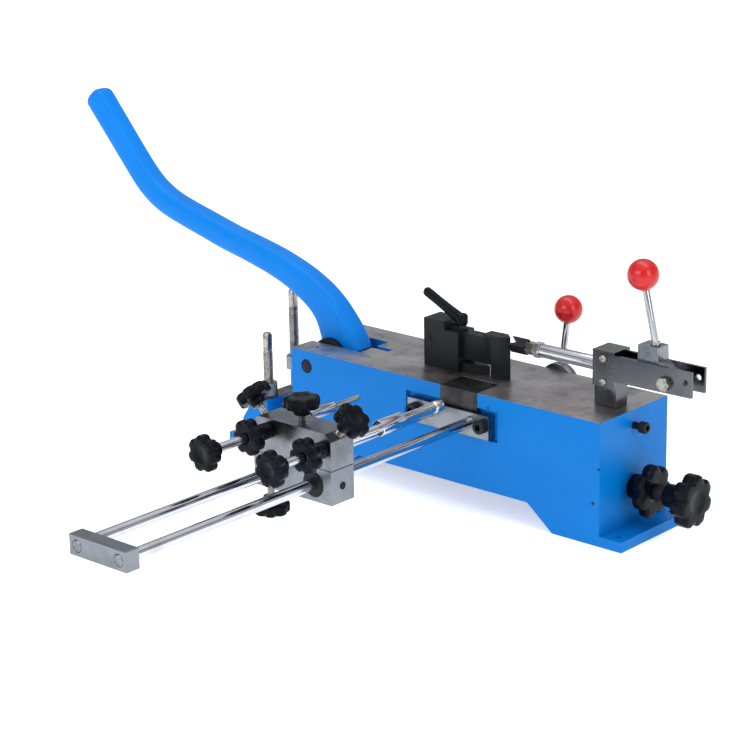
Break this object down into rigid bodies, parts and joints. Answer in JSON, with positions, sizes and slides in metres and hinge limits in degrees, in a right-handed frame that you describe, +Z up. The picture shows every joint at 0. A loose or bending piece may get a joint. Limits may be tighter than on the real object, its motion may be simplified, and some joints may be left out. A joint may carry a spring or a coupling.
{
  "type": "manual bench bender",
  "caption": "Bench bender for flat strip: a curved hand lever drives a punch against a toggle-clamped die, with a sliding two-rod gauge and adjustable stops.",
  "frame": {"origin": "centre of the footprint box at floor level, under the feet", "axes": "+X along the body from the lever end to the toggle end, +Y from the gauge side to the rear, +Z up"},
  "size_m": [0.9453, 0.6894, 0.4029],
  "materials": {
    "blue_paint": "gloss",
    "lever_paint": "satin",
    "ground_steel": "satin",
    "chrome": "gloss",
    "black_oxide": "satin",
    "black_plastic": "satin",
    "red_plastic": "gloss",
    "spring_steel": "satin",
    "dark_bronze": "satin"
  },
  "bodies": {
    "frame": {"body_casting": "blue_paint", "die_bed_insert": "black_oxide", "pivot_washer_front": "black_oxide", "pivot_washer_rear": "black_oxide", "lever_pivot_pin": "black_oxide", "die_clamp_block": "black_oxide", "die_bridge": "black_oxide", "end_cap_screw": "black_oxide", "bracket_screw_left": "black_oxide", "bracket_screw_right": "black_oxide", "ram_guide": "ground_steel", "guide_block": "ground_steel", "side_plate_front": "ground_steel", "side_plate_rear": "ground_steel", "gauge_bracket": "ground_steel", "gauge_end_bar": "ground_steel", "side_plate_screw_upper": "chrome", "side_plate_screw_lower": "chrome", "toggle_pivot_bolt": "chrome", "toggle_pivot_nut": "chrome", "gauge_rod_left": "chrome", "gauge_rod_right": "chrome", "stop_stud_front": "chrome", "stop_stud_rear": "chrome", "stop_nut_front": "chrome", "stop_nut_rear": "chrome"},
    "lever": {"main_lever": "lever_paint"},
    "ram": {"ram_slide": "ground_steel", "punch_wedge": "black_oxide", "ram_return_spring": "spring_steel"},
    "die_clamp": {"die_clamp_lever": "black_plastic", "die_clamp_screw": "chrome"},
    "toggle": {"toggle_block": "ground_steel", "toggle_rod": "chrome", "toggle_ball": "red_plastic"},
    "push_bar": {"push_rod": "chrome", "adjuster_locknut": "chrome", "v_head": "black_oxide"},
    "rear_lock": {"lock_cam_shaft": "chrome", "lock_lever_rod": "chrome", "lock_lever_ball": "red_plastic"},
    "spindle": {"stop_spindle": "black_oxide"},
    "spindle_handle": {"spindle_end_knob": "black_plastic"},
    "spindle_jam": {"spindle_jam_knob": "black_plastic"},
    "carriage": {"carriage_upper": "ground_steel", "carriage_lower": "ground_steel", "rod_bush_left": "dark_bronze", "rod_bush_right": "dark_bronze"},
    "stop_left": {"stop_rod_left": "chrome", "stop_knob_left": "black_plastic"},
    "stop_right": {"stop_rod_right": "chrome", "stop_knob_right": "black_plastic"},
    "jam_left": {"jam_knob_left": "black_plastic"},
    "jam_right": {"jam_knob_right": "black_plastic"},
    "clamp_top": {"clamp_knob_top": "black_plastic"},
    "clamp_left": {"clamp_knob_left": "black_plastic"},
    "clamp_right": {"clamp_knob_right": "black_plastic"},
    "carriage_lock": {"carriage_lock_knob": "black_plastic"}
  },
  "joints": [
    {"name": "lever_swing", "type": "hinge", "parent": "frame", "child": "lever", "pos_m": [-0.04635, 0.25825, 0.123], "axis": [0, 1, 0], "range_deg": [0, 40]},
    {"name": "ram_travel", "type": "slide", "parent": "frame", "child": "ram", "axis": [1, 0, 0], "range_m": [-0.0235, 0]},
    {"name": "die_clamp_turn", "type": "hinge", "parent": "frame", "child": "die_clamp", "pos_m": [0.14265, 0.25825, 0.202], "axis": [0, 0, 1], "range_deg": [0, 90]},
    {"name": "toggle_swing", "type": "hinge", "parent": "frame", "child": "toggle", "pos_m": [0.43635, 0.25825, 0.185], "axis": [0, 1, 0], "range_deg": [0, 95]},
    {"name": "push_rod_travel", "type": "slide", "parent": "frame", "child": "push_bar", "axis": [1, 0, 0], "range_m": [0, 0.0128]},
    {"name": "lock_swing", "type": "hinge", "parent": "frame", "child": "rear_lock", "pos_m": [0.23165, 0.31575, 0.124], "axis": [0, 1, 0], "range_deg": [-65, 55]},
    {"name": "spindle_travel", "type": "slide", "parent": "frame", "child": "spindle", "axis": [1, 0, 0], "range_m": [-0.00875, 0.00875]},
    {"name": "spindle_turn", "type": "hinge", "parent": "spindle", "child": "spindle_handle", "pos_m": [0.44665, 0.25825, 0.0534], "axis": [1, 0, 0], "range_deg": [-1805, 1805]},
    {"name": "spindle_jam_turn", "type": "hinge", "parent": "frame", "child": "spindle_jam", "pos_m": [0.40665, 0.25825, 0.0534], "axis": [1, 0, 0], "range_deg": [-180, 180]},
    {"name": "carriage_travel", "type": "slide", "parent": "frame", "child": "carriage", "axis": [0, 1, 0], "range_m": [-0.24, 0.1]},
    {"name": "stop_left_travel", "type": "slide", "parent": "carriage", "child": "stop_left", "axis": [0, 1, 0], "range_m": [-0.026, 0.035]},
    {"name": "stop_right_travel", "type": "slide", "parent": "carriage", "child": "stop_right", "axis": [0, 1, 0], "range_m": [-0.045, 0.025]},
    {"name": "jam_left_turn", "type": "hinge", "parent": "carriage", "child": "jam_left", "pos_m": [0.14725, -0.08425, 0.1544], "axis": [0, 1, 0], "range_deg": [-180, 180]},
    {"name": "jam_right_turn", "type": "hinge", "parent": "carriage", "child": "jam_right", "pos_m": [0.22615, -0.08425, 0.1499], "axis": [0, 1, 0], "range_deg": [-180, 180]},
    {"name": "clamp_top_turn", "type": "hinge", "parent": "carriage", "child": "clamp_top", "pos_m": [0.18095, -0.05125, 0.182], "axis": [0, 0, 1], "range_deg": [-180, 180]},
    {"name": "clamp_left_turn", "type": "hinge", "parent": "carriage", "child": "clamp_left", "pos_m": [0.12865, -0.05125, 0.1636], "axis": [-0.7071, 0, 0.7071], "range_deg": [-180, 180]},
    {"name": "clamp_right_turn", "type": "hinge", "parent": "carriage", "child": "clamp_right", "pos_m": [0.23325, -0.05125, 0.1636], "axis": [0.7071, 0, 0.7071], "range_deg": [-180, 180]},
    {"name": "carriage_lock_turn", "type": "hinge", "parent": "carriage", "child": "carriage_lock", "pos_m": [0.13165, -0.05125, 0.072], "axis": [0, 0, 1], "range_deg": [-180, 180]}
  ],
  "couplings": [
    {"joint": "ram_travel", "follows": "lever_swing", "m_per_rad": -0.033},
    {"joint": "push_rod_travel", "follows": "toggle_swing", "m_per_rad": 0.0076394},
    {"joint": "spindle_turn", "follows": "spindle_travel", "rad_per_m": 3590.4}
  ]
}
